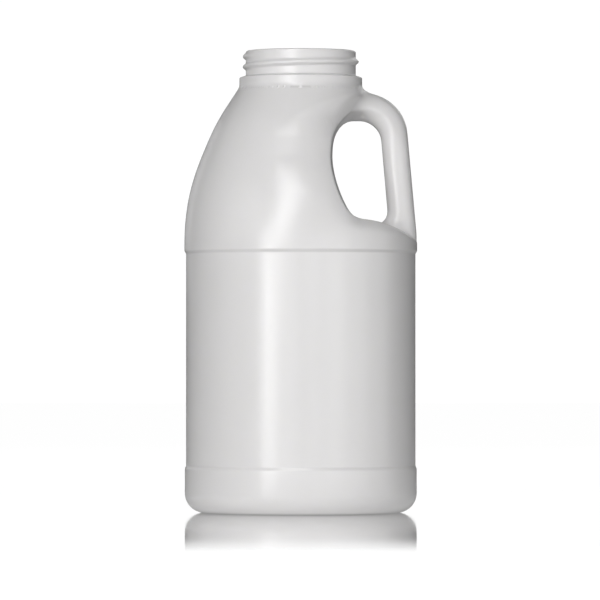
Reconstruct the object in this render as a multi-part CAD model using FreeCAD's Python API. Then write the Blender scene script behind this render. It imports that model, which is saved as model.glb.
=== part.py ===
"""A blow-moulded polyethylene jug with a hollow grip handle and a wide mouth for a screw cap.

The jug is one closed skin of plastic.  Its outside is a turned body, pinched in on the handle side, and the
handle bridges the pinch.  The hollow inside is the same form drawn in by the wall, so each outline is written
once and used twice.  The two mould halves are alike, so one half is shaped and then mirrored.

Frame: millimetres, +Z up, the middle of the base on the origin, the handle towards +X.
"""

import FreeCAD
import Part
import math
import os

Vector = FreeCAD.Vector
ORIGIN = Vector(0.0, 0.0, 0.0)
UP = Vector(0.0, 0.0, 1.0)
DOWN = Vector(0.0, 0.0, -1.0)
ACROSS = Vector(1.0, 0.0, 0.0)
INWARD = Vector(0.0, 1.0, 0.0)
TOUCH = 0.01

# Overall sizes
HEIGHT = 188.0
BAND_RADIUS = 47.4
PANEL_RADIUS = 46.7
BASE_BAND_RADIUS = 47.2

# Walls
WALL = 1.0
BASE_WALL = 1.5
NECK_WALL = 1.9

# Base: a heel that rolls under to a standing ring, and a shallow push-up inside it
HEEL_RADIUS = 8.0
STANDING_RADIUS = 35.0
PUSH_UP = 3.5
PUSH_UP_RADIUS = 29.0
RING_ROUNDING = 5.0

# Side: a base band, the recessed label panel and the upper band
BASE_BAND_TOP = 17.9
PANEL_TOP = 105.3
STEP_RISE = 1.2
STEP_ROUNDING = 0.5

# Shoulder: a smooth curve through (x, z) points, from the upper band to the foot of the collar
SHOULDER = (
    (BAND_RADIUS, 108.5),
    (47.1, 117.0),
    (45.3, 129.5),
    (42.4, 139.5),
    (38.9, 148.4),
    (34.4, 158.2),
    (28.3, 168.2),
)

# Collar under the cap
COLLAR_RADIUS = 25.0
COLLAR_BOTTOM = 173.2
COLLAR_TOP = 177.1
COLLAR_SLOPE = 0.8
COLLAR_FILLET = 4.0
COLLAR_ROUNDING = 0.4

# Screw finish
FINISH_RADIUS = 22.4
RIM_ROUNDING = 0.7
BORE_ROUNDING = 6.0

# Pinch: the wall behind the grip, turned about an upright axis behind the jug, so that it falls away from the
# parting line on both sides.  Each run is a smooth curve through (x, z) points, from the collar downwards.
PINCH_AXIS = -90.0
BROW = (
    (34.0, 172.0),
    (28.6, 168.4),
    (22.9, 164.5),
    (18.3, 160.5),
    (15.4, 156.8),
    (13.8, 153.0),
    (13.1, 149.0),
    (12.9, 145.0),
)
WAIST = ((12.9, 145.0), (13.3, 140.2), (14.7, 134.2), (16.7, 128.6), (18.9, 124.0), (21.6, 120.5), (25.6, 118.8))
LEDGE = ((25.6, 118.8), (31.0, 118.0), (36.0, 116.5), (42.0, 113.8), (46.0, 111.2), (52.0, 106.4))
BROW_START = Vector(-0.8, 0.0, -0.55)
LEDGE_START = Vector(1.0, 0.0, -0.15)
LEDGE_END = Vector(1.0, 0.0, -0.85)

# Rounding of the pinch's edge: (height, radius), straight between them
PINCH_ROUNDING = ((110.0, 2.0), (118.8, 7.0), (145.0, 18.0), (169.0, 5.0))
LEAST_ROUNDING = 1.0

# Handle: a flat loop with rounded edges.  Its outlines are corners (x, z, radius) with the plastic to their left.
GRIP_DEPTH = 15.0
GRIP_ROUNDING = 4.6
GRIP_OUTSIDE = (
    (5.0, 107.5, 0.0),
    (46.9, 107.5, 0.0),
    (47.25, 112.0, 25.0),
    (42.35, 166.35, 17.5),
    (20.0, 173.5, 5.0),
    (5.0, 173.5, 0.0),
)
GRIP_HOLE = (
    (12.3, 159.4, 10.0),
    (32.15, 159.4, 9.0),
    (35.85, 117.0, 7.0),
    (20.0, 114.0, 2.0),
    (12.3, 139.0, 5.0),
)


def left_of(direction):
    """Unit vector to the left of a direction of travel in the XZ plane, seen from the front."""
    return Vector(-direction.z, 0.0, direction.x).normalize()


def moved_left(corners, depth, closed):
    """The corners of an outline moved left by depth, with each radius changed to keep the roundings parallel."""
    points = [Vector(x, 0.0, z) for x, z, radius in corners]
    count = len(points)
    moved = []
    for index, (x, z, radius) in enumerate(corners):
        here = points[index]
        before = here - points[index - 1] if closed or index > 0 else None
        after = points[(index + 1) % count] - here if closed or index < count - 1 else None
        before = before or after
        after = after or before
        first = left_of(before)
        second = left_of(after)
        middle = (first + second).normalize()
        shift = middle * (depth / middle.dot(first))
        turns_left = before.cross(after).y < 0.0
        if radius > 0.0:
            radius = radius - depth if turns_left else radius + depth
        moved.append((here.x + shift.x, here.z + shift.z, max(radius, 0.0)))
    return moved


def rounded_wire(corners, closed):
    """Straight runs in the XZ plane, each corner (x, z, radius) turned by a tangent arc."""
    count = len(corners)
    points = [Vector(x, 0.0, z) for x, z, radius in corners]
    turns = []
    for index, (x, z, radius) in enumerate(corners):
        here = points[index]
        if radius <= 0.0 or (not closed and index in (0, count - 1)):
            turns.append((here, None, here))
            continue
        back = (points[index - 1] - here).normalize()
        ahead = (points[(index + 1) % count] - here).normalize()
        half_angle = back.getAngle(ahead) / 2.0
        reach = radius / math.tan(half_angle)
        inward = (back + ahead).normalize()
        middle = here + inward * (radius / math.sin(half_angle) - radius)
        turns.append((here + back * reach, middle, here + ahead * reach))
    edges = []
    for index, (start, middle, end) in enumerate(turns):
        if middle is not None:
            edges.append(Part.Arc(start, middle, end).toShape())
        if closed or index < count - 1:
            following = turns[(index + 1) % count][0]
            if end.distanceToPoint(following) > 1e-6:
                edges.append(Part.makeLine(end, following))
    return Part.Wire(edges)


def smooth_run(points, start, end, depth):
    """Edge through (x, z) points with given end directions, drawn in to the left by depth."""
    places = [Vector(x, 0.0, z) for x, z in points]
    curve = Part.BSplineCurve()
    curve.interpolate(Points=places, InitialTangent=start, FinalTangent=end)
    if depth:
        places = [place + left_of(curve.tangent(curve.parameter(place))[0]) * depth for place in places]
        curve.interpolate(Points=places, InitialTangent=start, FinalTangent=end)
    return curve.toShape()


def turned(outline, axis_x):
    """The solid, and its skin, that an open outline sweeps round an upright axis, its seam away from the grip."""
    low = outline.OrderedVertexes[0].Point
    high = outline.OrderedVertexes[-1].Point
    axis_low = Vector(axis_x, 0.0, low.z)
    axis_high = Vector(axis_x, 0.0, high.z)
    edges = [Part.makeLine(high, axis_high), Part.makeLine(axis_high, axis_low)]
    if low.distanceToPoint(axis_low) > 1e-6:
        edges.append(Part.makeLine(axis_low, low))
    face = Part.Face(Part.Wire(outline.OrderedEdges + edges)).mirror(axis_low, ACROSS)
    skin = outline.mirror(axis_low, ACROSS)
    return face.revolve(axis_low, UP, 360.0), skin.revolve(axis_low, UP, 360.0)


def side_outline(depth, lift, ring_rounding, step_rounding):
    """Edges of the turned body from the middle of the base to the collar, drawn in by depth, the base lifted."""
    side = (
        (0.0, PUSH_UP, 0.0),
        (PUSH_UP_RADIUS, PUSH_UP, ring_rounding),
        (STANDING_RADIUS, 0.0, ring_rounding),
        (BASE_BAND_RADIUS, 0.0, HEEL_RADIUS),
        (BASE_BAND_RADIUS, BASE_BAND_TOP, step_rounding),
        (PANEL_RADIUS, BASE_BAND_TOP + STEP_RISE, step_rounding),
        (PANEL_RADIUS, PANEL_TOP, step_rounding),
        (BAND_RADIUS, PANEL_TOP + STEP_RISE, step_rounding),
        (*SHOULDER[0], 0.0),
    )
    corners = moved_left(side, depth, False)
    corners = [(x, z + lift, r) if z < BASE_BAND_TOP / 2.0 else (x, z, r) for x, z, r in corners]
    foot_x, foot_z = SHOULDER[-1]
    toward_collar = Vector(COLLAR_RADIUS - foot_x, 0.0, COLLAR_BOTTOM - foot_z)
    shoulder = smooth_run(SHOULDER, UP, toward_collar, depth)
    return rounded_wire(corners, False).Edges + [shoulder]


def outer_outline():
    """Outline of the turned body with its collar and screw finish."""
    neck = (
        (*SHOULDER[-1], 0.0),
        (COLLAR_RADIUS, COLLAR_BOTTOM, COLLAR_FILLET),
        (COLLAR_RADIUS, COLLAR_TOP, COLLAR_ROUNDING),
        (FINISH_RADIUS, COLLAR_TOP + COLLAR_SLOPE, 0.0),
        (FINISH_RADIUS, HEIGHT, RIM_ROUNDING),
        (FINISH_RADIUS - NECK_WALL / 2.0, HEIGHT, 0.0),
    )
    side = side_outline(0.0, 0.0, RING_ROUNDING, STEP_ROUNDING)
    return Part.Wire(side + rounded_wire(neck, False).Edges)


def inner_outline():
    """Outline of the hollow: the body drawn in by the walls, and the bore of the neck, with plain small corners."""
    side = side_outline(WALL, BASE_WALL - WALL, 0.0, 0.0)
    foot = side[-1].lastVertex(True).Point
    bore = FINISH_RADIUS - NECK_WALL
    neck = ((foot.x, foot.z, 0.0), (bore, COLLAR_TOP, BORE_ROUNDING), (bore, HEIGHT + NECK_WALL, 0.0))
    return Part.Wire(side + rounded_wire(neck, False).Edges)


def pinch_outline(depth):
    """Outline of the wall behind the grip, from above the body down past the ledge to below it."""
    runs = [
        smooth_run(BROW, BROW_START, DOWN, -depth),
        smooth_run(WAIST, DOWN, LEDGE_START, -depth),
        smooth_run(LEDGE, LEDGE_START, LEDGE_END, -depth),
    ]
    top = runs[0].firstVertex(True).Point
    foot = runs[-1].lastVertex(True).Point
    above = Part.makeLine(Vector(top.x, 0.0, HEIGHT + HEEL_RADIUS), top)
    below = Part.makeLine(foot, Vector(foot.x, 0.0, -HEEL_RADIUS))
    return Part.Wire([above] + runs + [below])


def pinch_radius(height, depth):
    """Rounding of the pinch's edge at a height, less the depth that the form is drawn in."""
    for (low, low_radius), (high, high_radius) in zip(PINCH_ROUNDING, PINCH_ROUNDING[1:]):
        if height <= high or high == PINCH_ROUNDING[-1][0]:
            share = min(max((height - low) / (high - low), 0.0), 1.0)
            return max(low_radius + share * (high_radius - low_radius) - depth, LEAST_ROUNDING)


def rounded_along(solid, edges, radius_at):
    """Solid with edges rounded together, the radius at each end of an edge given by its height."""
    document = FreeCAD.newDocument("Rounding")
    base = document.addObject("Part::Feature", "Base")
    base.Shape = solid
    rounding = document.addObject("Part::Fillet", "Rounding")
    rounding.Base = base
    chosen = []
    for number, edge in enumerate(solid.Edges, start=1):
        if any(edge.isSame(other) for other in edges):
            start = edge.valueAt(edge.FirstParameter).z
            end = edge.valueAt(edge.LastParameter).z
            chosen.append((number, radius_at(start), radius_at(end)))
    rounding.Edges = chosen
    document.recompute()
    result = rounding.Shape.copy().Solids[0]
    FreeCAD.closeDocument(document.Name)
    return result


def edges_along(solid, line):
    """The edges of a solid whose middle lies on a line shape."""
    found = []
    for edge in solid.Edges:
        middle = edge.valueAt((edge.FirstParameter + edge.LastParameter) / 2.0)
        if line.distToShape(Part.Vertex(middle))[0] < 1e-4:
            found.append(edge)
    return found


def front_of(solid):
    """The half of a solid in front of the parting line."""
    box = solid.BoundBox
    return solid.common(Part.makeBox(box.XLength, -box.YMin, box.ZLength, Vector(box.XMin, box.YMin, box.ZMin)))


def pinched_half(outline, depth):
    """Front half of a turned form, cut back by the pinch, with the pinch's edge rounded."""
    body, body_skin = turned(outline, 0.0)
    kept, kept_skin = turned(pinch_outline(depth), PINCH_AXIS)
    half = front_of(body.common(kept)).Solids[0]
    edge = edges_along(half, body_skin.section(kept_skin))
    return rounded_along(half, edge, lambda height: pinch_radius(height, depth))


def grip_half(depth):
    """Front half of the handle: a flat loop round the finger hole, its front edges rounded."""
    outside = rounded_wire(moved_left(GRIP_OUTSIDE, depth, True), True)
    hole = rounded_wire(moved_left(GRIP_HOLE, depth, True), True)
    thickness = GRIP_DEPTH / 2.0 - depth
    plate = Part.Face(outside).cut(Part.Face(hole)).Faces[0]
    loop = plate.extrude(INWARD * -thickness)
    for wire in (outside, hole):
        front = wire.translated(INWARD * -thickness)
        edges = [edge for edge in edges_along(loop, front) if stands_clear(edge, outside)]
        loop = loop.makeFillet(GRIP_ROUNDING - depth, edges).Solids[0]
    return loop


def stands_clear(edge, outside):
    """Whether an edge of the handle shows, and isn't one of those buried in the body, at the left or the foot."""
    box = edge.BoundBox
    whole = outside.BoundBox
    return box.XMax > whole.XMin + TOUCH and box.ZMax > whole.ZMin + TOUCH


def jug():
    """The whole jug as one solid."""
    outside = pinched_half(outer_outline(), 0.0).fuse(grip_half(0.0))
    inside = pinched_half(inner_outline(), WALL).fuse(grip_half(WALL))
    half = outside.cut(inside).Solids[0]
    return half.fuse(half.mirror(ORIGIN, INWARD)).removeSplitter().Solids[0]


def main():
    os.makedirs("parts", exist_ok=True)
    jug().exportStep("parts/jug.step")


main()
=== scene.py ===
"""Look of an empty blow-moulded polyethylene jug with a grip handle, on a pale reflecting floor.

The jug is one closed skin.  The plain turned stretches, below the shoulder and round the neck, are lathed.
The shoulder with its pinch and handle is the zero surface of a distance field, in which each edge is rolled
to a radius, because that is how the blown plastic flows round the mould.  The jug's sizes are in
millimetres, which mesh_of turns into metres.  The settings in the sidebar are in metres.
"""

import math

import bmesh
import bpy
import numpy as np
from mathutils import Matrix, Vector


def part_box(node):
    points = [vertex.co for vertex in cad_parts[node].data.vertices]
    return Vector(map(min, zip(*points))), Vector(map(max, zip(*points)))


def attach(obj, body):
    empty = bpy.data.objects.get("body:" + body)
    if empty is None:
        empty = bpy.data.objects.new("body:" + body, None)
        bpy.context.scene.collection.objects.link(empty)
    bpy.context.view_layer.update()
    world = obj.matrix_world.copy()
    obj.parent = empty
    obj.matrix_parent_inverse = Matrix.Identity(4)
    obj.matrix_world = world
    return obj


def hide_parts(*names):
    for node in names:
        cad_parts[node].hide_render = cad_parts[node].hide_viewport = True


bl_info = {
    "name": "Honey jug",
    "version": (1, 0, 0),
    "blender": (4, 5, 0),
    "location": "3D View > Sidebar > Jug",
    "description": "Builds an empty polyethylene honey jug on a studio floor",
    "category": "Object",
}

MM = 0.001

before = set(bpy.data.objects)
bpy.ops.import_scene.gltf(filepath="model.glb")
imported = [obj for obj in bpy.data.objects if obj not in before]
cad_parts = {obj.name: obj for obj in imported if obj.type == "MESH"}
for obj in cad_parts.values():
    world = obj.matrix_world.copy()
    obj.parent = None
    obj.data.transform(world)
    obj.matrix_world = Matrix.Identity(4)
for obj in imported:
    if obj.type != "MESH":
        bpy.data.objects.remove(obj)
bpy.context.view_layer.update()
BOX_HIGH = np.array(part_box("jug")[1]) / MM

# Overall sizes, from the frame
HEIGHT = BOX_HIGH[2]
BAND_RADIUS = BOX_HIGH[1]
PANEL_RADIUS = BAND_RADIUS - 0.7
BASE_BAND_RADIUS = BAND_RADIUS - 0.2

# Base: a heel that rolls under to a standing ring, and a shallow push-up inside it
HEEL_RADIUS = 8.0
STANDING_RADIUS = 35.0
PUSH_UP = 3.5
PUSH_UP_RADIUS = 29.0
RING_ROUNDING = 5.0

# Side: a base band, the recessed label panel and the upper band
BASE_BAND_TOP = 17.9
PANEL_TOP = 105.3
STEP_RISE = 1.2
STEP_ROUNDING = 0.9

# Shoulder: a smooth curve through (radius, height) points
SHOULDER = (
    (BAND_RADIUS, 108.5),
    (47.1, 117.0),
    (45.3, 129.5),
    (42.4, 139.5),
    (38.9, 148.4),
    (34.4, 158.2),
    (28.3, 168.2),
)

# Collar and screw finish
COLLAR_RADIUS = 25.0
COLLAR_BOTTOM = 173.2
COLLAR_TOP = 177.1
COLLAR_SLOPE = 0.8
COLLAR_FILLET = 4.0
COLLAR_ROUNDING = 0.5
FINISH_RADIUS = 22.4
FINISH_FOOT_ROUNDING = 0.4
RIM_ROUNDING = 0.7
RIM_DEPTH = 2.0
THROAT_TOP = HEIGHT - 3.0
BORE_ROUNDING = 6.0

# Thread: one right-handed ridge, whose turns are counted from the back of the jug.  It is full out to
# THREAD_CREST above and below its middle line and is gone at THREAD_FOOT
THREAD_START = 180.45
THREAD_TURNS = 1.38
THREAD_FADE = 0.14
THREAD_CREST = 0.2
THREAD_FOOT = 1.6

# Pinch: the wall behind the grip, turned about an upright axis so far to the left that it is nearly flat.
# From the front its outline is three runs of (x, z) points, from the neck down: brow, waist and ledge
PINCH_AXIS = -600.0
BROW = (
    (34.0, 172.0),
    (28.6, 168.4),
    (22.9, 164.5),
    (18.3, 160.5),
    (15.4, 156.8),
    (13.8, 153.0),
    (13.1, 149.0),
    (12.9, 145.0),
)
WAIST = (
    (12.9, 145.0),
    (13.3, 140.2),
    (14.7, 134.2),
    (16.7, 128.6),
    (18.9, 124.0),
    (21.6, 120.5),
    (25.6, 118.8),
)
LEDGE = ((25.6, 118.8), (31.0, 118.0), (36.0, 116.5), (42.0, 113.8), (46.0, 111.2), (52.0, 106.4))
BROW_START = (-0.8, -0.55)
LEDGE_START = (1.0, -0.15)
LEDGE_END = (1.0, -0.85)
DOWN = (0.0, -1.0)

# Handle: a flat loop with rounded edges, as corners (x, z, radius) with the plastic to their left
GRIP_DEPTH = 15.0
GRIP_OUTSIDE = (
    (-15.0, 107.5, 0.0),
    (46.9, 107.5, 0.0),
    (47.25, 112.0, 25.0),
    (42.35, 166.35, 17.5),
    (20.0, 173.5, 5.0),
    (-15.0, 173.5, 0.0),
)
GRIP_HOLE = ((-9.0, 159.4, 2.0), (32.15, 159.4, 9.0), (35.85, 117.0, 7.0), (-9.0, 108.6, 0.0))

# Rolled edges: (height, radius), straight between them
GRIP_ROUNDING = ((150.0, 5.2), (161.0, 7.4))
ROOT_ROUNDING = (
    (111.0, 0.8),
    (113.5, 1.2),
    (117.5, 4.0),
    (130.0, 5.0),
    (150.0, 11.0),
    (164.0, 11.0),
    (169.0, 5.0),
)

# The body swells round towards the pinch by a large radius.  It swells towards a wall that stands further out
# by a share of that radius, so the pinch cuts it before it has turned right round and leaves a crisp edge
PINCH_SWELL = (
    (110.0, 3.0),
    (118.0, 13.0),
    (126.0, 20.0),
    (135.0, 24.5),
    (144.0, 26.0),
    (152.0, 24.0),
    (160.0, 18.0),
    (169.0, 8.0),
)
PINCH_SWELL_CUT = 0.2
PINCH_EDGE = 1.6

# Faces that lean together or apart by more than these cosines are rolled as if they leaned by that much
LEAST_LEAN = -0.9
MOST_LEAN = 0.94

# Distance maps: their cells and how far they reach.  The outlines close outside the maps, further from the
# skin than any rounding near there
MAP_CELL = 0.25
MAP_LEFT = -20.0
MAP_RIGHT = 62.0
MAP_BOTTOM = 100.0
MAP_TOP = 180.0
BODY_LEFT = -90.0
BODY_BOTTOM = 95.0
BODY_TOP = 185.0
PINCH_LEFT = -40.0
PINCH_BOTTOM = 80.0
PINCH_TOP = 200.0

# Where the field meets the lathed stretches, and how finely each is cut
FIELD_BOTTOM = 107.0
OUTER_CELL = 0.8
OUTER_LAYERS = 82
INNER_CELL = 1.6
INNER_LAYERS = 40
OUTER_COLUMNS = 256
INNER_COLUMNS = 128
SIDE_ROWS = 6.0
NECK_ROWS = 0.3
INNER_SIDE_ROWS = 12.0
THROAT_ROWS = 3.0
ARC_STEP = math.radians(7.5)

# Room round the body in the field's grid, the place of the extra rows beside the ends of a long run, and how
# near the finish's radius a row has to be to carry the thread
FIELD_MARGIN = 2.0
END_ROW = 0.5
ON_WALL = 0.02

# Settling the field's mesh: rounds in all, rounds that also even out the points, by what share of the way to
# their neighbours' middle, and steps towards the surface in each round
SETTLE_ROUNDS = 8
EVENING_ROUNDS = 5
EVENING_SHARE = 0.5
SURFACE_STEPS = 2


# ---------------------------------------------------------------- outlines, in millimetres


def rounded(corners, closed=False):
    """Points along straight runs whose corners (x, z, radius) are turned by arcs."""
    count = len(corners)
    places = np.array([corner[:2] for corner in corners], float)
    points = []
    for index, (x, z, radius) in enumerate(corners):
        here = places[index]
        if radius <= 0.0 or (not closed and index in (0, count - 1)):
            points.append(here)
            continue
        back = places[index - 1] - here
        ahead = places[(index + 1) % count] - here
        back /= np.linalg.norm(back)
        ahead /= np.linalg.norm(ahead)
        half_angle = math.acos(np.clip(back @ ahead, -1.0, 1.0)) / 2.0
        inward = (back + ahead) / np.linalg.norm(back + ahead)
        centre = here + inward * (radius / math.sin(half_angle))
        start = here + back * (radius / math.tan(half_angle)) - centre
        turn = math.pi - 2.0 * half_angle
        turn = turn if back[0] * ahead[1] - back[1] * ahead[0] < 0.0 else -turn
        steps = max(int(math.ceil(abs(turn) / ARC_STEP)), 1)
        for angle in np.linspace(0.0, turn, steps + 1):
            cosine, sine = math.cos(angle), math.sin(angle)
            points.append(centre + (start[0] * cosine - start[1] * sine, start[0] * sine + start[1] * cosine))
    return np.array(points)


def spline(points, start, end, spacing=0.8):
    """Points along the cubic spline through some points, with given directions at its ends."""
    places = np.array(points, float)
    count = len(places)
    gaps = np.linalg.norm(np.diff(places, axis=0), axis=1)
    rows = np.zeros((count, count))
    sides = np.zeros((count, 2))
    rows[0, 0] = rows[-1, -1] = 1.0
    sides[0] = np.array(start) / np.linalg.norm(start)
    sides[-1] = np.array(end) / np.linalg.norm(end)
    slopes = np.diff(places, axis=0) / gaps[:, None]
    for i in range(1, count - 1):
        rows[i, i - 1 : i + 2] = gaps[i], 2.0 * (gaps[i - 1] + gaps[i]), gaps[i - 1]
        sides[i] = 3.0 * (gaps[i] * slopes[i - 1] + gaps[i - 1] * slopes[i])
    tangents = np.linalg.solve(rows, sides)
    curve = [places[:1]]
    for i, gap in enumerate(gaps):
        t = np.linspace(0.0, 1.0, int(math.ceil(gap / spacing)) + 1)[1:, None]
        curve.append(
            (2 * t**3 - 3 * t**2 + 1) * places[i]
            + (t**3 - 2 * t**2 + t) * gap * tangents[i]
            + (3 * t**2 - 2 * t**3) * places[i + 1]
            + (t**3 - t**2) * gap * tangents[i + 1]
        )
    return np.vstack(curve)


def shoulder_outline():
    """The shoulder, from the upper band to the foot of the collar."""
    foot = np.array(SHOULDER[-1])
    return spline(SHOULDER, (0.0, 1.0), np.array((COLLAR_RADIUS, COLLAR_BOTTOM)) - foot)


def side_outline(depth, ring_rounding, step_rounding):
    """From the middle of the base to the upper band, drawn in by a depth."""
    return rounded(
        (
            (0.0, PUSH_UP + depth, 0.0),
            (PUSH_UP_RADIUS, PUSH_UP + depth, ring_rounding),
            (STANDING_RADIUS, depth, ring_rounding),
            (BASE_BAND_RADIUS - depth, depth, HEEL_RADIUS - depth),
            (BASE_BAND_RADIUS - depth, BASE_BAND_TOP, step_rounding),
            (PANEL_RADIUS - depth, BASE_BAND_TOP + STEP_RISE, step_rounding),
            (PANEL_RADIUS - depth, PANEL_TOP, step_rounding),
            (BAND_RADIUS - depth, PANEL_TOP + STEP_RISE, step_rounding),
            (BAND_RADIUS - depth, FIELD_BOTTOM, 0.0),
        )
    )


def neck_outline(wall):
    """From the top of the shoulder over the collar and the rim into the top of the bore."""
    bore = FINISH_RADIUS - wall
    return rounded(
        (
            (*SHOULDER[-1], 0.0),
            (COLLAR_RADIUS, COLLAR_BOTTOM, COLLAR_FILLET),
            (COLLAR_RADIUS, COLLAR_TOP, COLLAR_ROUNDING),
            (FINISH_RADIUS, COLLAR_TOP + COLLAR_SLOPE, FINISH_FOOT_ROUNDING),
            (FINISH_RADIUS, HEIGHT, RIM_ROUNDING),
            (bore, HEIGHT, RIM_ROUNDING),
            (bore, HEIGHT - RIM_DEPTH, 0.0),
        )
    )


def cut_rows(points, spacing):
    """The outline with long runs cut up, and a row close to each end of a run, so that shading stays true."""
    rows = [points[0]]
    for start, end in zip(points[:-1], points[1:]):
        length = np.linalg.norm(end - start)
        if length > 2.0 * spacing:
            inner = np.linspace(0.0, 1.0, int(math.ceil(length / spacing)) + 1)[1:-1]
            near = min(END_ROW / length, inner[0] / 2.0)
            rows += [start + (end - start) * share for share in (near, *inner, 1.0 - near)]
        rows.append(end)
    return np.array(rows)


# ---------------------------------------------------------------- the distance field of the shoulder


class DistanceMap:
    """Signed distance to a closed outline in a plane, negative inside, looked up on a fine grid."""

    def __init__(self, outline, left):
        self.low = np.array((left, MAP_BOTTOM))
        counts = ((np.array((MAP_RIGHT, MAP_TOP)) - self.low) / MAP_CELL).astype(int) + 1
        axes = [self.low[i] + MAP_CELL * np.arange(counts[i]) for i in (0, 1)]
        u, v = np.meshgrid(*axes, indexing="ij")
        nearest = np.full(u.shape, 1e9)
        inside = np.zeros(u.shape, bool)
        for start, end in zip(outline, np.roll(outline, -1, axis=0)):
            run = end - start
            length = run @ run
            if length < 1e-12:
                continue
            share = np.clip(((u - start[0]) * run[0] + (v - start[1]) * run[1]) / length, 0.0, 1.0)
            gap = (u - start[0] - share * run[0]) ** 2 + (v - start[1] - share * run[1]) ** 2
            nearest = np.minimum(nearest, gap)
            crosses = (start[1] > v) != (end[1] > v)
            if run[1] != 0.0:
                inside ^= crosses & (u < start[0] + (v - start[1]) * run[0] / run[1])
        self.fill(np.sqrt(nearest) * np.where(inside, -1.0, 1.0))

    def fill(self, distance):
        """Keeps a grid of distances with its slopes."""
        slopes = np.gradient(distance, MAP_CELL)
        self.grid = np.stack([distance, *slopes], axis=-1)

    def without(self, other):
        """This shape less another on the same grid."""
        self.fill(np.maximum(self.grid[..., 0], -other.grid[..., 0]))
        return self

    def at(self, u, v):
        """Distance and its two slopes at points of the plane."""
        place = (np.stack([u, v], axis=-1) - self.low) / MAP_CELL
        last_cell = np.array(self.grid.shape[:2]) - 1.001
        place = np.clip(place, 0.0, last_cell)
        corner = place.astype(int)
        share = place - corner
        i, j = corner[:, 0], corner[:, 1]
        s, t = share[:, :1], share[:, 1:]
        low = self.grid[i, j] * (1 - s) + self.grid[i + 1, j] * s
        high = self.grid[i, j + 1] * (1 - s) + self.grid[i + 1, j + 1] * s
        return (low * (1 - t) + high * t).T


def unit(vectors):
    """Vectors scaled to length one."""
    return vectors / np.maximum(np.linalg.norm(vectors, axis=1, keepdims=True), 1e-9)


def turned(distance_map, axis_x, points):
    """Distance and direction of a map turned about an upright axis."""
    x, y, z = points[:, 0] - axis_x, points[:, 1], points[:, 2]
    radius = np.maximum(np.hypot(x, y), 1e-6)
    distance, outward, upward = distance_map.at(radius + axis_x, z)
    return distance, unit(np.stack([outward * x / radius, outward * y / radius, upward], axis=1))


def rolled(first, second, radius):
    """What two solids share, the edge between them rolled by a ball of a given radius.

    Each solid is (distance, direction).  Both surfaces are taken as flat nearby, at the angle between their
    directions, and u and v measure from them drawn in by the radius, where the ball's centre runs.
    """
    (a, toward_a), (b, toward_b) = first, second
    lean = np.clip((toward_a * toward_b).sum(axis=1), LEAST_LEAN, MOST_LEAN)
    u = a + radius
    v = b + radius
    on_ball = (u > lean * v) & (v > lean * u)
    spread = 1.0 - lean**2
    reach = np.sqrt(np.maximum((u**2 + v**2 - 2.0 * lean * u * v) / spread, 1e-9))
    distance = np.where(on_ball, reach - radius, np.maximum(a, b))
    ball = (u - lean * v)[:, None] * toward_a + (v - lean * u)[:, None] * toward_b
    ball = ball / (spread * reach)[:, None]
    flat = np.where((a > b)[:, None], toward_a, toward_b)
    return distance, unit(np.where(on_ball[:, None], ball, flat))


def opposite(solid):
    """Everything outside a solid."""
    return -solid[0], -solid[1]


def along(table, heights):
    """Values of a (height, value) table at some heights."""
    return np.interp(heights, [row[0] for row in table], [row[1] for row in table])


class ShoulderForm:
    """The shoulder, pinch and handle as one field of (distance, direction)."""

    def __init__(self):
        self.body = DistanceMap(self.body_outline(), 0.0)
        self.pinch = DistanceMap(self.pinch_outline(), MAP_LEFT)
        hole = DistanceMap(rounded(GRIP_HOLE, True), MAP_LEFT)
        self.grip = DistanceMap(rounded(GRIP_OUTSIDE, True), MAP_LEFT).without(hole)

    def body_outline(self):
        """The shoulder and the collar's foot, closed far to the left, where the turned map doesn't reach."""
        collar = (
            (*SHOULDER[-1], 0.0),
            (COLLAR_RADIUS, COLLAR_BOTTOM, COLLAR_FILLET),
            (COLLAR_RADIUS, BODY_TOP, 0.0),
        )
        below = [(BODY_LEFT, BODY_BOTTOM), (BAND_RADIUS, BODY_BOTTOM)]
        return np.vstack([below, shoulder_outline(), rounded(collar)[1:], [(BODY_LEFT, BODY_TOP)]])

    def pinch_outline(self):
        """What the pinch keeps of the body, seen from the front."""
        runs = [
            spline(BROW, BROW_START, DOWN),
            spline(WAIST, DOWN, LEDGE_START)[1:],
            spline(LEDGE, LEDGE_START, LEDGE_END)[1:],
        ]
        above = [(PINCH_LEFT, PINCH_TOP), (BROW[0][0], PINCH_TOP)]
        below = [(LEDGE[-1][0], PINCH_BOTTOM), (PINCH_LEFT, PINCH_BOTTOM)]
        return np.vstack([above, *runs, below])

    def handle(self, points):
        """The flat loop with its front and back edges rounded."""
        distance, across, upward = self.grip.at(points[:, 0], points[:, 2])
        zero = np.zeros(len(points))
        outline = distance, unit(np.stack([across, zero, upward], axis=1))
        side = np.abs(points[:, 1]) - GRIP_DEPTH / 2.0
        face = side, np.stack([zero, np.sign(points[:, 1]), zero], axis=1)
        return rolled(outline, face, along(GRIP_ROUNDING, points[:, 2]))

    def at(self, points):
        """Distance and direction of the whole form."""
        heights = points[:, 2]
        body = turned(self.body, 0.0, points)
        kept = turned(self.pinch, PINCH_AXIS, points)
        swell = along(PINCH_SWELL, heights)
        swollen = rolled(body, (kept[0] - PINCH_SWELL_CUT * swell, kept[1]), swell)
        pinched = rolled(swollen, kept, PINCH_EDGE)
        joined = rolled(opposite(pinched), opposite(self.handle(points)), along(ROOT_ROUNDING, heights))
        return opposite(joined)


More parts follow.
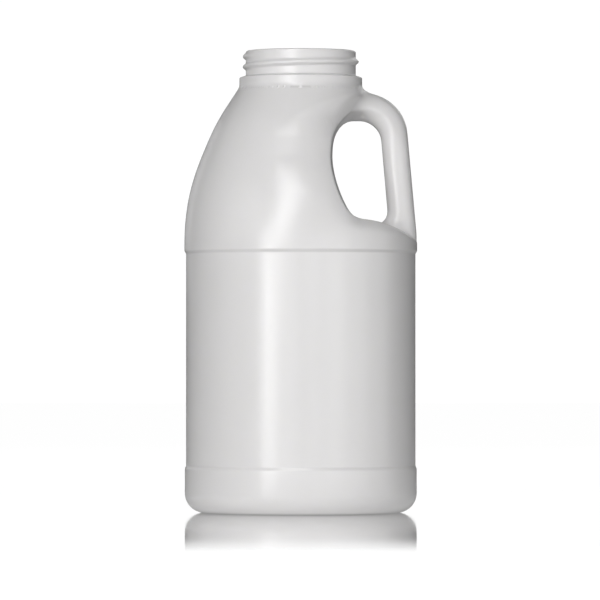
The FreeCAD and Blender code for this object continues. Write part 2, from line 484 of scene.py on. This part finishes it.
def surface_net(form, level, cell, layers):
    """Even mesh of the surface where the field has a level.

    Returns its points, its quads, and the numbers of the points in its lowest and its highest row.
    """
    reach = math.ceil((BAND_RADIUS + FIELD_MARGIN) / cell) * cell
    side = np.arange(-reach, reach + cell / 2.0, cell)
    height = FIELD_BOTTOM + cell * np.arange(layers + 1)
    nodes = np.stack(np.meshgrid(side, side, height, indexing="ij"), axis=-1)
    shape = nodes.shape[:3]
    values = (form.at(nodes.reshape(-1, 3))[0] - level).reshape(shape)
    total = np.zeros([n - 1 for n in shape] + [3])
    count = np.zeros([n - 1 for n in shape])
    faces = []
    crossings = []
    for axis in range(3):
        near = [slice(None)] * 3
        far = [slice(None)] * 3
        near[axis], far[axis] = slice(None, -1), slice(1, None)
        a, b = values[tuple(near)], values[tuple(far)]
        crossing = (a < 0.0) != (b < 0.0)
        where = np.argwhere(crossing)
        share = (a[crossing] / (a[crossing] - b[crossing]))[:, None]
        place = nodes[tuple(near)][crossing] * (1.0 - share) + nodes[tuple(far)][crossing] * share
        others = [i for i in range(3) if i != axis]
        ring = []
        usable = np.ones(len(where), bool)
        for du, dv in ((0, 0), (1, 0), (1, 1), (0, 1)):
            cell_at = where.copy()
            cell_at[:, others[0]] -= du
            cell_at[:, others[1]] -= dv
            valid = ((cell_at >= 0) & (cell_at < np.array(shape) - 1)).all(axis=1)
            chosen = tuple(cell_at[valid].T)
            np.add.at(total, chosen, place[valid])
            np.add.at(count, chosen, 1.0)
            usable &= valid
            ring.append(cell_at)
        crossings.append((ring, usable))
    occupied = count > 0.0
    number = np.full(occupied.shape, -1)
    number[occupied] = np.arange(occupied.sum())
    points = total[occupied] / count[occupied][:, None]
    for ring, usable in crossings:
        faces.append(np.stack([number[tuple(c[usable].T)] for c in ring], axis=1))
    faces = np.vstack(faces)
    layer = np.argwhere(occupied)[:, 2]
    ends = [np.flatnonzero(layer == 0), np.flatnonzero(layer == layers - 1)]
    return settle(form, level, points, faces, ends), faces, ends


def settle(form, level, points, faces, ends):
    """Evens out the points over the surface and brings each exactly onto it; end rows keep their height."""
    links = np.vstack([faces[:, [i, (i + 1) % 4]] for i in range(4)])
    links = np.vstack([links, links[:, ::-1]])
    links_per_point = np.bincount(links[:, 0], minlength=len(points))[:, None]
    fixed = np.concatenate(ends)
    kept_height = points[fixed, 2].copy()
    for end in ends:
        kept_height[np.isin(fixed, end)] = points[end, 2].mean()
    for step in range(SETTLE_ROUNDS):
        if step < EVENING_ROUNDS:
            ends_of_links = points[links[:, 1]]
            sums = [np.bincount(links[:, 0], ends_of_links[:, i], len(points)) for i in range(3)]
            points = points + EVENING_SHARE * (np.stack(sums, 1) / links_per_point - points)
        for _ in range(SURFACE_STEPS):
            distance, direction = form.at(points)
            points = points - (distance - level)[:, None] * direction
            points[fixed, 2] = kept_height
    return points


# ---------------------------------------------------------------- lathed stretches and the whole skin


def thread_height(angle, height):
    """How far the screw thread stands out at an angle and height on the finish."""
    pitch = shape_settings().thread_pitch / MM
    rise = shape_settings().thread_depth / MM
    turn_from_back = ((angle - math.pi / 2.0) / (2.0 * math.pi)) % 1.0
    turns_up = np.round((height - THREAD_START) / pitch - turn_from_back)
    turns = turns_up + turn_from_back
    beside = np.abs(height - THREAD_START - turns * pitch)
    ridge = smooth_step((THREAD_FOOT - beside) / (THREAD_FOOT - THREAD_CREST))
    fade_in = smooth_step(turns / THREAD_FADE)
    fade_out = smooth_step((THREAD_TURNS - turns) / THREAD_FADE)
    return rise * ridge * fade_in * fade_out


def smooth_step(share):
    """0 to 1 with level ends."""
    share = np.clip(share, 0.0, 1.0)
    return share * share * (3.0 - 2.0 * share)


class Skin:
    """Points and faces of the jug as they are added."""

    def __init__(self):
        self.points = []
        self.faces = []
        self.count = 0

    def add(self, points, faces):
        """Adds a stretch, and returns the number of its first point."""
        first = self.count
        self.points.append(points)
        self.faces += [tuple(int(i) + first for i in face) for face in faces]
        self.count += len(points)
        return first

    def lathe(self, outline, columns, relief=None):
        """Turns an outline of (radius, height) rows, and returns the numbers of its first and last rings."""
        angles = 2.0 * math.pi * np.arange(columns) / columns
        rows = [row for row in outline if row[0] > 1e-6]
        radius = np.array([row[0] for row in rows])[:, None] + np.zeros(columns)
        height = np.array([row[1] for row in rows])[:, None] + np.zeros(columns)
        if relief:
            radius = radius + relief(radius, angles[None, :], height)
        points = np.stack([radius * np.cos(angles), radius * np.sin(angles), height], axis=-1).reshape(-1, 3)
        here = np.arange(columns)
        after = (here + 1) % columns
        faces = []
        for row in range(len(rows) - 1):
            low, high = row * columns, (row + 1) * columns
            faces += list(zip(low + here, low + after, high + after, high + here))
        first = self.add(points, faces)
        start = first + here
        if outline[0][0] <= 1e-6:
            centre = self.add(np.array([[0.0, 0.0, outline[0][1]]]), [])
            self.faces += [(centre, int(start[i]), int(start[(i + 1) % columns])) for i in here]
        return start, first + (len(rows) - 1) * columns + here

    def zip_rings(self, first, second):
        """Joins two rings of points round the axis by triangles."""
        points = np.vstack(self.points)
        rings = []
        for ring in (first, second):
            angles = np.arctan2(points[ring, 1], points[ring, 0])
            order = np.argsort(angles)
            rings.append((ring[order], angles[order]))
        (a, angle_a), (b, angle_b) = rings
        i = j = 0
        while i < len(a) or j < len(b):
            next_a = angle_a[i + 1] if i + 1 < len(a) else angle_a[0] + 2.0 * math.pi
            next_b = angle_b[j + 1] if j + 1 < len(b) else angle_b[0] + 2.0 * math.pi
            here_a, here_b = int(a[i % len(a)]), int(b[j % len(b)])
            if j >= len(b) or (i < len(a) and next_a <= next_b):
                i += 1
                self.faces.append((here_a, int(a[i % len(a)]), here_b))
            else:
                j += 1
                self.faces.append((here_a, int(b[j % len(b)]), here_b))


def jug_skin():
    """The outside and the hollow of the jug as one closed skin."""
    shape = shape_settings()
    wall = shape.wall / MM
    neck_wall = shape.neck_wall / MM
    form = ShoulderForm()
    skin = Skin()

    def finish_relief(radius, angle, height):
        on_wall = np.abs(radius - FINISH_RADIUS) < ON_WALL
        return np.where(on_wall, thread_height(angle, height), 0.0)

    points, faces, ends = surface_net(form, 0.0, OUTER_CELL, OUTER_LAYERS)
    first = skin.add(points, faces)
    field_top = FIELD_BOTTOM + OUTER_CELL * OUTER_LAYERS
    side = cut_rows(side_outline(0.0, RING_ROUNDING, STEP_ROUNDING), SIDE_ROWS)
    neck = cut_rows(neck_outline(neck_wall), NECK_ROWS)
    neck = neck[np.cumsum(neck[:, 1] > field_top + OUTER_CELL / 2.0) > 0]
    side_rings = skin.lathe(side, OUTER_COLUMNS)
    neck_rings = skin.lathe(neck, OUTER_COLUMNS, finish_relief)
    skin.zip_rings(side_rings[1], first + ends[0])
    skin.zip_rings(first + ends[1], neck_rings[0])

    points, faces, ends = surface_net(form, -wall, INNER_CELL, INNER_LAYERS)
    first = skin.add(points, faces)
    field_top = FIELD_BOTTOM + INNER_CELL * INNER_LAYERS
    inner_foot = np.hypot(points[ends[1], 0], points[ends[1], 1]).mean() - INNER_CELL / 2.0
    bore = FINISH_RADIUS - neck_wall
    throat = ((inner_foot, field_top, 0.0), (bore, COLLAR_TOP, BORE_ROUNDING), (bore, THROAT_TOP, 0.0))
    inner_side = skin.lathe(cut_rows(side_outline(wall, 0.0, 0.0), INNER_SIDE_ROWS), INNER_COLUMNS)
    inner_neck = skin.lathe(cut_rows(rounded(throat), THROAT_ROWS), INNER_COLUMNS)
    skin.zip_rings(inner_side[1], first + ends[0])
    skin.zip_rings(first + ends[1], inner_neck[0])
    skin.zip_rings(neck_rings[1], inner_neck[1])
    return skin


def mesh_of(skin, name):
    """Object with a smooth mesh of a skin, its faces turned outwards."""
    mesh = bpy.data.meshes.new(name)
    mesh.from_pydata(np.vstack(skin.points) * MM, [], skin.faces)
    work = bmesh.new()
    work.from_mesh(mesh)
    bmesh.ops.recalc_face_normals(work, faces=work.faces)
    work.to_mesh(mesh)
    work.free()
    mesh.shade_smooth()
    made = bpy.data.objects.new(name, mesh)
    bpy.context.scene.collection.objects.link(made)
    return made


# ---------------------------------------------------------------- materials

WHITE = (1.0, 1.0, 1.0, 1.0)
PLASTIC_COLOUR = "#E1E0E0"
FLOOR_COLOUR = "#DADADA"
FLOOR_SHADE_COLOUR = "#606060"


def linear(code):
    """Linear colour from an sRGB hex code."""
    channels = [int(code[i : i + 2], 16) / 255.0 for i in (1, 3, 5)]
    return [c / 12.92 if c <= 0.04045 else ((c + 0.055) / 1.055) ** 2.4 for c in channels] + [1.0]


def add_node(tree, kind, settings=None, links=None):
    """Adds a node, sets its properties and inputs, and links inputs to other nodes' outputs."""
    node = tree.nodes.new(kind)
    for name, value in (settings or {}).items():
        if name in node.inputs:
            node.inputs[name].default_value = value
        else:
            setattr(node, name, value)
    for name, output in (links or {}).items():
        tree.links.new(output, node.inputs[name])
    return node


def new_material(name):
    """An empty node material and its tree."""
    material = bpy.data.materials.new(name)
    material.use_nodes = True
    material.node_tree.nodes.clear()
    return material, material.node_tree


def polyethylene():
    """Natural high-density polyethylene, blow-moulded.

    It looks milky, with soft shadows, and its satin skin blurs every highlight.
    """
    look = bpy.context.scene.jug_look
    material, tree = new_material("Natural polyethylene, blow-moulded")
    plastic = add_node(
        tree,
        "ShaderNodeBsdfPrincipled",
        {
            "Base Color": (*look.plastic, 1.0),
            "Roughness": look.roughness,
            "IOR": 1.54,
            "Subsurface Weight": 1.0,
            "Subsurface Radius": (1.0, 1.0, 0.95),
            "Subsurface Scale": look.scatter,
        },
    )
    add_node(tree, "ShaderNodeOutputMaterial", links={"Surface": plastic.outputs["BSDF"]})
    return material


def floor_material():
    """White polished acrylic sheet: it mirrors the foot of the jug, and the image fades with distance.

    The camera alone sees the mirror, over a white that hardly darkens in shadow.  To the jug the sheet is
    matt, and it gives off a little light near the foot, so that the heel isn't dark.
    """
    material, tree = new_material("White acrylic sheet, polished")
    stage = bpy.context.scene.jug_stage
    place = add_node(tree, "ShaderNodeNewGeometry")
    distance = add_node(tree, "ShaderNodeVectorMath", {"operation": "LENGTH"}, {0: place.outputs["Position"]})
    fade = add_node(
        tree,
        "ShaderNodeMapRange",
        {
            "interpolation_type": "SMOOTHSTEP",
            "From Min": stage.mirror_start,
            "From Max": stage.mirror_end,
            "To Min": stage.mirror,
            "To Max": 0.0,
        },
        {"Value": distance.outputs["Value"]},
    )
    path = add_node(tree, "ShaderNodeLightPath")
    matt = add_node(tree, "ShaderNodeBsdfDiffuse", {"Color": linear(FLOOR_COLOUR)})
    glow = add_node(tree, "ShaderNodeEmission", {"Color": WHITE, "Strength": stage.floor_glow})
    shade = add_node(tree, "ShaderNodeBsdfDiffuse", {"Color": linear(FLOOR_SHADE_COLOUR)})
    lit = add_node(tree, "ShaderNodeAddShader", links={0: shade.outputs[0], 1: glow.outputs[0]})
    gloss = add_node(tree, "ShaderNodeBsdfGlossy", {"Roughness": 0.06, "Color": WHITE})
    seen = add_node(
        tree,
        "ShaderNodeMixShader",
        links={"Fac": fade.outputs["Result"], 1: lit.outputs[0], 2: gloss.outputs[0]},
    )
    underlight = add_node(
        tree,
        "ShaderNodeMapRange",
        {"From Min": 0.0, "From Max": stage.underlight_reach, "To Min": stage.underlight, "To Max": 0.0},
        {"Value": distance.outputs["Value"]},
    )
    from_below = add_node(tree, "ShaderNodeEmission", links={"Strength": underlight.outputs["Result"]})
    around = add_node(tree, "ShaderNodeAddShader", links={0: matt.outputs[0], 1: from_below.outputs[0]})
    sheet = add_node(
        tree,
        "ShaderNodeMixShader",
        links={"Fac": path.outputs["Is Camera Ray"], 1: around.outputs[0], 2: seen.outputs[0]},
    )
    add_node(tree, "ShaderNodeOutputMaterial", links={"Surface": sheet.outputs[0]})
    return material


def glowing(name, strength):
    """A plain white surface that gives off an even light."""
    material, tree = new_material(name)
    glow = add_node(tree, "ShaderNodeEmission", {"Color": WHITE, "Strength": strength})
    add_node(tree, "ShaderNodeOutputMaterial", links={"Surface": glow.outputs[0]})
    return material


# ---------------------------------------------------------------- settings


def shape_settings():
    """The scene's sizes of the jug."""
    return bpy.context.scene.jug_shape


class JugShape(bpy.types.PropertyGroup):
    """Sizes of the jug that the mould doesn't fix."""

    wall: bpy.props.FloatProperty(
        name="Wall", description="Thickness of the blown wall", default=0.001, unit="LENGTH"
    )
    neck_wall: bpy.props.FloatProperty(
        name="Neck wall", description="Thickness of the neck", default=0.0019, unit="LENGTH"
    )
    thread_pitch: bpy.props.FloatProperty(
        name="Thread pitch", description="Rise of the thread in one turn", default=0.00423, unit="LENGTH"
    )
    thread_depth: bpy.props.FloatProperty(
        name="Thread depth", description="How far the thread stands out", default=0.0012, unit="LENGTH"
    )


class JugLook(bpy.types.PropertyGroup):
    """Finish of the plastic."""

    plastic: bpy.props.FloatVectorProperty(
        name="Plastic",
        description="Colour of the polyethylene",
        default=linear(PLASTIC_COLOUR)[:3],
        subtype="COLOR",
    )
    roughness: bpy.props.FloatProperty(
        name="Roughness",
        description="Blur of the satin skin",
        default=0.27,
        min=0.0,
        max=1.0,
        subtype="FACTOR",
    )
    scatter: bpy.props.FloatProperty(
        name="Scatter", description="How far light spreads inside the plastic", default=0.0006, unit="LENGTH"
    )


class JugStage(bpy.types.PropertyGroup):
    """Floor and camera."""

    mirror: bpy.props.FloatProperty(
        name="Mirror", description="Share of mirrored light near the foot", default=1.0, subtype="FACTOR"
    )
    mirror_start: bpy.props.FloatProperty(
        name="Mirror start", description="Where the mirror image starts to fade", default=0.30, unit="LENGTH"
    )
    mirror_end: bpy.props.FloatProperty(
        name="Mirror end", description="Where the mirror image is gone", default=0.50, unit="LENGTH"
    )
    floor_glow: bpy.props.FloatProperty(
        name="Floor glow", description="White that the camera sees in the floor", default=0.98
    )
    underlight: bpy.props.FloatProperty(
        name="Underlight", description="Light that comes up through the sheet under the jug", default=0.2
    )
    underlight_reach: bpy.props.FloatProperty(
        name="Underlight reach", description="Where that light ends", default=0.2, unit="LENGTH"
    )
    camera_distance: bpy.props.FloatProperty(
        name="Camera distance", description="From the lens to the jug's axis", default=2.24, unit="LENGTH"
    )
    camera_height: bpy.props.FloatProperty(
        name="Camera height", description="Height of the lens", default=0.0613, unit="LENGTH"
    )


# ---------------------------------------------------------------- stage, in metres and degrees

FLOOR_SIZE = 12.0
TENT_RADIUS = 8.0
TENT_GLOW = 1.02
ROOM_LIGHT = 0.09
BACKDROP_GLOW = 1.02
CAMERA_LENS_MM = 330.0
CAMERA_SENSOR_MM = 36.0
CAMERA_CLIP_END = 100.0
CAMERA_TILT = 0.646
CAMERA_TURN = 0.008

# Softboxes: name, azimuth from the camera, elevation, width, height, power in watts
SOFTBOXES = (
    ("strip_left_inner", -27.0, 0.0, 0.25, 0.24, 1.5),
    ("strip_left_outer", -34.0, 0.0, 0.25, 0.24, 2.5),
    ("strip_left_lean", -20.0, 9.0, 0.35, 0.24, 2.7),
    ("shoulder_middle", -13.0, 20.0, 0.45, 0.45, 4.1),
    ("shoulder_soft", -8.0, 35.0, 0.8, 0.5, 6.0),
    ("front_low", -8.0, 0.0, 0.4, 0.24, 1.0),
    ("right_low", 14.0, 0.0, 0.5, 0.24, 1.5),
    ("right_middle", 36.0, 0.0, 0.6, 0.24, 2.5),
    ("right_far", 60.0, 0.0, 0.6, 0.24, 1.7),
    ("right_side", 85.0, 0.0, 0.6, 0.24, 1.0),
    ("left_side", -60.0, 14.0, 1.2, 0.6, 2.0),
    ("back_right", 158.0, 22.0, 0.7, 0.6, 1.4),
    ("back_left", -150.0, 10.0, 0.6, 0.5, 0.7),
)
LIGHTS_DISTANCE = 1.6
LIGHTS_AIM_HEIGHT = 0.09


def add_floor():
    """The sheet that the jug stands on."""
    bpy.ops.mesh.primitive_plane_add(size=FLOOR_SIZE)
    floor = bpy.context.object
    floor.name = "floor"
    floor.data.materials.append(floor_material())
    return floor


def add_tent(floor):
    """A white tent, which lights the mirror in the floor and nothing else."""
    bpy.ops.mesh.primitive_uv_sphere_add(segments=48, ring_count=24, radius=TENT_RADIUS)
    tent = bpy.context.object
    tent.name = "tent"
    tent.data.materials.append(glowing("White tent cloth, lit", TENT_GLOW))
    tent.visible_camera = False
    tent.visible_diffuse = False
    tent.visible_transmission = False
    tent.visible_shadow = False
    mirrored_in = bpy.data.collections.new("mirrors the tent")
    mirrored_in.objects.link(floor)
    tent.light_linking.receiver_collection = mirrored_in


def add_room(scene):
    """A dim even light from all round, and the white backdrop that the camera sees."""
    world = bpy.data.worlds.new("Studio")
    scene.world = world
    world.use_nodes = True
    tree = world.node_tree
    tree.nodes.clear()
    path = add_node(tree, "ShaderNodeLightPath")
    room = add_node(tree, "ShaderNodeBackground", {"Color": WHITE, "Strength": ROOM_LIGHT})
    white = add_node(tree, "ShaderNodeBackground", {"Color": WHITE, "Strength": BACKDROP_GLOW})
    mixed = add_node(
        tree,
        "ShaderNodeMixShader",
        links={"Fac": path.outputs["Is Camera Ray"], 1: room.outputs[0], 2: white.outputs[0]},
    )
    add_node(tree, "ShaderNodeOutputWorld", links={"Surface": mixed.outputs[0]})


def add_softbox(name, azimuth, elevation, width, height, power):
    """A rectangular area light aimed at the middle of the jug."""
    light = bpy.data.lights.new(name, "AREA")
    light.shape = "RECTANGLE"
    light.size = width
    light.size_y = height
    light.energy = power
    around, above = math.radians(azimuth), math.radians(elevation)
    away = Vector((math.sin(around) * math.cos(above), -math.cos(around) * math.cos(above), math.sin(above)))
    lamp = bpy.data.objects.new(name, light)
    lamp.location = Vector((0.0, 0.0, LIGHTS_AIM_HEIGHT)) + away * LIGHTS_DISTANCE
    lamp.rotation_euler = (-away).to_track_quat("-Z", "Y").to_euler()
    bpy.context.scene.collection.objects.link(lamp)


def add_camera(scene):
    """A long lens a little above the foot of the jug."""
    stage = scene.jug_stage
    camera = bpy.data.cameras.new("camera")
    camera.lens = CAMERA_LENS_MM
    camera.sensor_width = CAMERA_SENSOR_MM
    camera.clip_end = CAMERA_CLIP_END
    holder = bpy.data.objects.new("camera", camera)
    holder.location = (0.0, -stage.camera_distance, stage.camera_height)
    holder.rotation_euler = (math.radians(90.0 + CAMERA_TILT), 0.0, math.radians(CAMERA_TURN))
    scene.collection.objects.link(holder)
    scene.camera = holder


# ---------------------------------------------------------------- operators and panel


class JUG_OT_skin(bpy.types.Operator):
    """Build the jug with its screw neck and handle"""

    bl_idname = "jug.skin"
    bl_label = "Add jug"

    def execute(self, context):
        jug = mesh_of(jug_skin(), "jug_skin")
        jug.data.materials.append(polyethylene())
        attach(jug, "root")
        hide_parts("jug")
        return {"FINISHED"}


class JUG_OT_stage(bpy.types.Operator):
    """Build the floor, the backdrop, the lights and the camera"""

    bl_idname = "jug.stage"
    bl_label = "Add stage"

    def execute(self, context):
        add_tent(add_floor())
        add_room(context.scene)
        for softbox in SOFTBOXES:
            add_softbox(*softbox)
        add_camera(context.scene)
        context.scene.view_settings.view_transform = "Standard"
        return {"FINISHED"}


class JUG_PT_panel(bpy.types.Panel):
    """Sidebar panel with the sizes and the operators"""

    bl_label = "Jug"
    bl_idname = "JUG_PT_panel"
    bl_space_type = "VIEW_3D"
    bl_region_type = "UI"
    bl_category = "Jug"

    def draw(self, context):
        scene = context.scene
        for group in (scene.jug_shape, scene.jug_look, scene.jug_stage):
            box = self.layout.box()
            for name in group.__annotations__:
                box.prop(group, name)
        for operator in (JUG_OT_skin, JUG_OT_stage):
            self.layout.operator(operator.bl_idname)


CLASSES = (JugShape, JugLook, JugStage, JUG_OT_skin, JUG_OT_stage, JUG_PT_panel)


def register():
    """Adds the classes and their settings."""
    for item in CLASSES:
        bpy.utils.register_class(item)
    bpy.types.Scene.jug_shape = bpy.props.PointerProperty(type=JugShape)
    bpy.types.Scene.jug_look = bpy.props.PointerProperty(type=JugLook)
    bpy.types.Scene.jug_stage = bpy.props.PointerProperty(type=JugStage)


def unregister():
    """Removes what register added."""
    del bpy.types.Scene.jug_shape
    del bpy.types.Scene.jug_look
    del bpy.types.Scene.jug_stage
    for item in reversed(CLASSES):
        bpy.utils.unregister_class(item)


def main():
    """Builds everything in order."""
    register()
    bpy.ops.jug.skin()
    bpy.ops.jug.stage()


if __name__ == "__main__":
    main()
